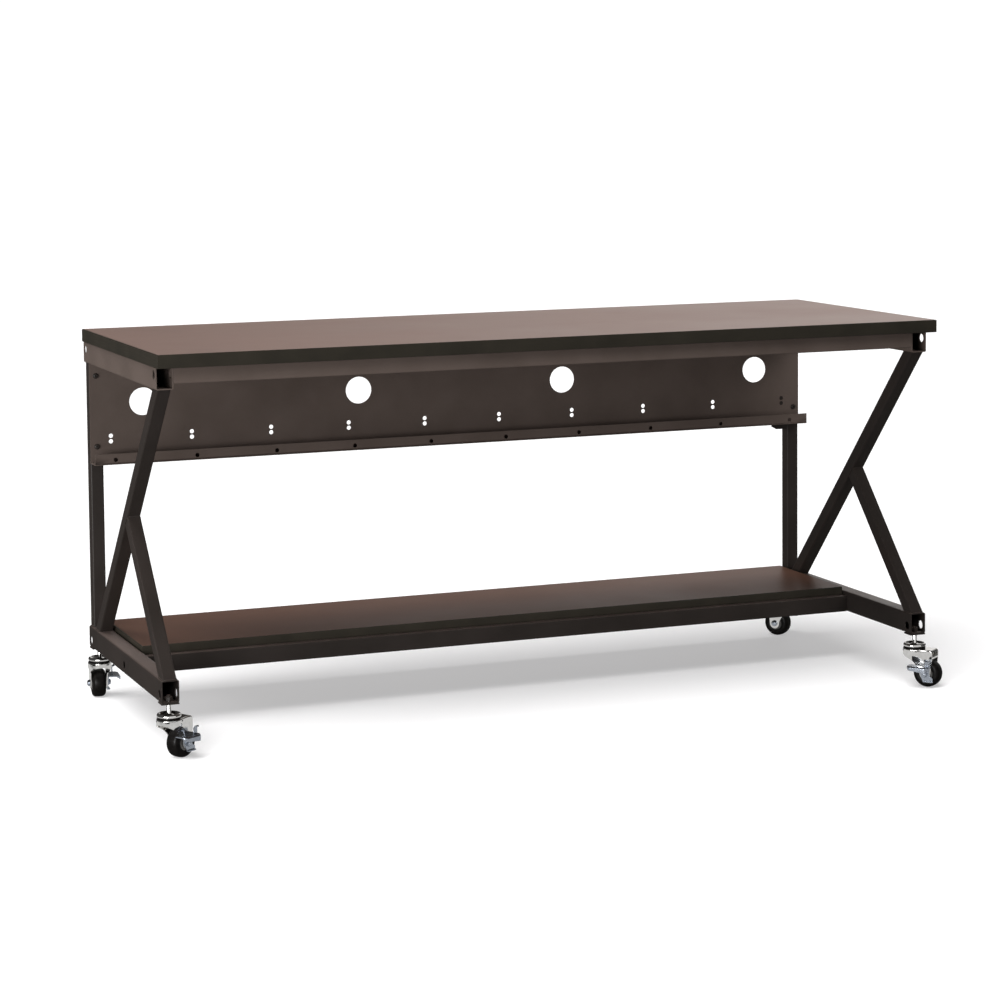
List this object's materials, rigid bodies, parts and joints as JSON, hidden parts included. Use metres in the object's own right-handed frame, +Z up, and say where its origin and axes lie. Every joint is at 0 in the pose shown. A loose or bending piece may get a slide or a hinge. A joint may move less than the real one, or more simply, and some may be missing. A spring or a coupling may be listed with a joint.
{
  "type": "rolling assembly table",
  "caption": "Long rolling workbench: laminate worktop on K-braced steel end frames, lower shelf, back panel with a cable tray, and swivel casters with side brakes.",
  "frame": {"origin": "on the floor, under the centre of the box that holds the whole table with its casters turned as pictured", "axes": "+X along the length to the right of someone at the front, +Y to the back panel, +Z up"},
  "size_m": [1.8566, 0.7534, 0.8555],
  "materials": {
    "frame_paint": "dark bronze powder coat, satin",
    "panel_paint": "bronze powder coat, a little lighter than the frames, satin",
    "worktop_laminate": "plain taupe-brown laminate over particle board, satin",
    "shelf_laminate": "plain brown laminate over particle board, satin",
    "edge_band": "near-black edge band, satin",
    "caster_chrome": "bright plating",
    "caster_zinc": "blue-grey zinc plating",
    "wheel_hub": "grey plastic",
    "wheel_tread": "black, satin"
  },
  "bodies": {
    "table": {"upper_rail_left": "panel_paint", "lower_rail_left": "frame_paint", "rear_post_left": "frame_paint", "diagonal_left": "frame_paint", "brace_left": "frame_paint", "upper_rail_right": "panel_paint", "lower_rail_right": "frame_paint", "rear_post_right": "frame_paint", "diagonal_right": "frame_paint", "brace_right": "frame_paint", "front_apron": "panel_paint", "front_beam": "frame_paint", "rear_beam": "frame_paint", "back_panel": "panel_paint", "tray_floor": "panel_paint", "tray_lip": "panel_paint", "panel_bracket": "frame_paint", "panel_bolt_low_left": "frame_paint", "panel_bolt_high_left": "frame_paint", "panel_bolt_low_right": "frame_paint", "panel_bolt_high_right": "frame_paint", "foot_plate_front_left": "frame_paint", "foot_plate_front_right": "frame_paint", "foot_plate_rear_left": "frame_paint", "foot_plate_rear_right": "frame_paint", "worktop": "worktop_laminate", "shelf": "shelf_laminate", "worktop_edge_band": "edge_band", "shelf_edge_band": "edge_band", "caster_stem_front_left": "caster_chrome", "caster_stem_front_right": "caster_chrome", "caster_stem_rear_left": "caster_chrome", "caster_stem_rear_right": "caster_chrome"},
    "fork_front_left": {"caster_fork_front_left": "caster_chrome", "caster_axle_front_left": "caster_zinc"},
    "wheel_front_left": {"caster_hub_front_left": "wheel_hub", "caster_tyre_front_left": "wheel_tread"},
    "brake_front_left": {"caster_brake_front_left": "caster_zinc"},
    "fork_front_right": {"caster_fork_front_right": "caster_chrome", "caster_axle_front_right": "caster_zinc"},
    "wheel_front_right": {"caster_hub_front_right": "wheel_hub", "caster_tyre_front_right": "wheel_tread"},
    "brake_front_right": {"caster_brake_front_right": "caster_zinc"},
    "fork_rear_left": {"caster_fork_rear_left": "caster_chrome", "caster_axle_rear_left": "caster_zinc"},
    "wheel_rear_left": {"caster_hub_rear_left": "wheel_hub", "caster_tyre_rear_left": "wheel_tread"},
    "brake_rear_left": {"caster_brake_rear_left": "caster_zinc"},
    "fork_rear_right": {"caster_fork_rear_right": "caster_chrome", "caster_axle_rear_right": "caster_zinc"},
    "wheel_rear_right": {"caster_hub_rear_right": "wheel_hub", "caster_tyre_rear_right": "wheel_tread"},
    "brake_rear_right": {"caster_brake_rear_right": "caster_zinc"}
  },
  "joints": [
    {"name": "swivel_front_left", "type": "hinge", "parent": "table", "child": "fork_front_left", "pos_m": [-0.90033, -0.31095, 0.0905], "axis": [0, 0, 1], "continuous": true},
    {"name": "roll_front_left", "type": "hinge", "parent": "fork_front_left", "child": "wheel_front_left", "pos_m": [-0.8715, -0.29294, 0.03234], "axis": [-0.5299, 0.848, 0], "continuous": true},
    {"name": "brake_press_front_left", "type": "hinge", "parent": "fork_front_left", "child": "brake_front_left", "pos_m": [-0.8715, -0.29294, 0.03234], "axis": [0.5299, -0.848, 0], "range_deg": [0, 20]},
    {"name": "swivel_front_right", "type": "hinge", "parent": "table", "child": "fork_front_right", "pos_m": [0.87967, -0.31095, 0.0905], "axis": [0, 0, 1], "continuous": true},
    {"name": "roll_front_right", "type": "hinge", "parent": "fork_front_right", "child": "wheel_front_right", "pos_m": [0.90013, -0.33811, 0.03234], "axis": [0.7986, 0.6018, 0], "continuous": true},
    {"name": "brake_press_front_right", "type": "hinge", "parent": "fork_front_right", "child": "brake_front_right", "pos_m": [0.90013, -0.33811, 0.03234], "axis": [-0.7986, -0.6018, 0], "range_deg": [0, 20]},
    {"name": "swivel_rear_left", "type": "hinge", "parent": "table", "child": "fork_rear_left", "pos_m": [-0.90033, 0.31005, 0.0905], "axis": [0, 0, 1], "continuous": true},
    {"name": "roll_rear_left", "type": "hinge", "parent": "fork_rear_left", "child": "wheel_rear_left", "pos_m": [-0.89678, 0.34386, 0.03234], "axis": [-0.9945, 0.1045, 0], "continuous": true},
    {"name": "brake_press_rear_left", "type": "hinge", "parent": "fork_rear_left", "child": "brake_rear_left", "pos_m": [-0.89678, 0.34386, 0.03234], "axis": [0.9945, -0.1045, 0], "range_deg": [0, 20]},
    {"name": "swivel_rear_right", "type": "hinge", "parent": "table", "child": "fork_rear_right", "pos_m": [0.87967, 0.31005, 0.0905], "axis": [0, 0, 1], "continuous": true},
    {"name": "roll_rear_right", "type": "hinge", "parent": "fork_rear_right", "child": "wheel_rear_right", "pos_m": [0.86017, 0.3379, 0.03234], "axis": [-0.8192, -0.5736, 0], "continuous": true},
    {"name": "brake_press_rear_right", "type": "hinge", "parent": "fork_rear_right", "child": "brake_rear_right", "pos_m": [0.86017, 0.3379, 0.03234], "axis": [0.8192, 0.5736, 0], "range_deg": [0, 20]}
  ]
}
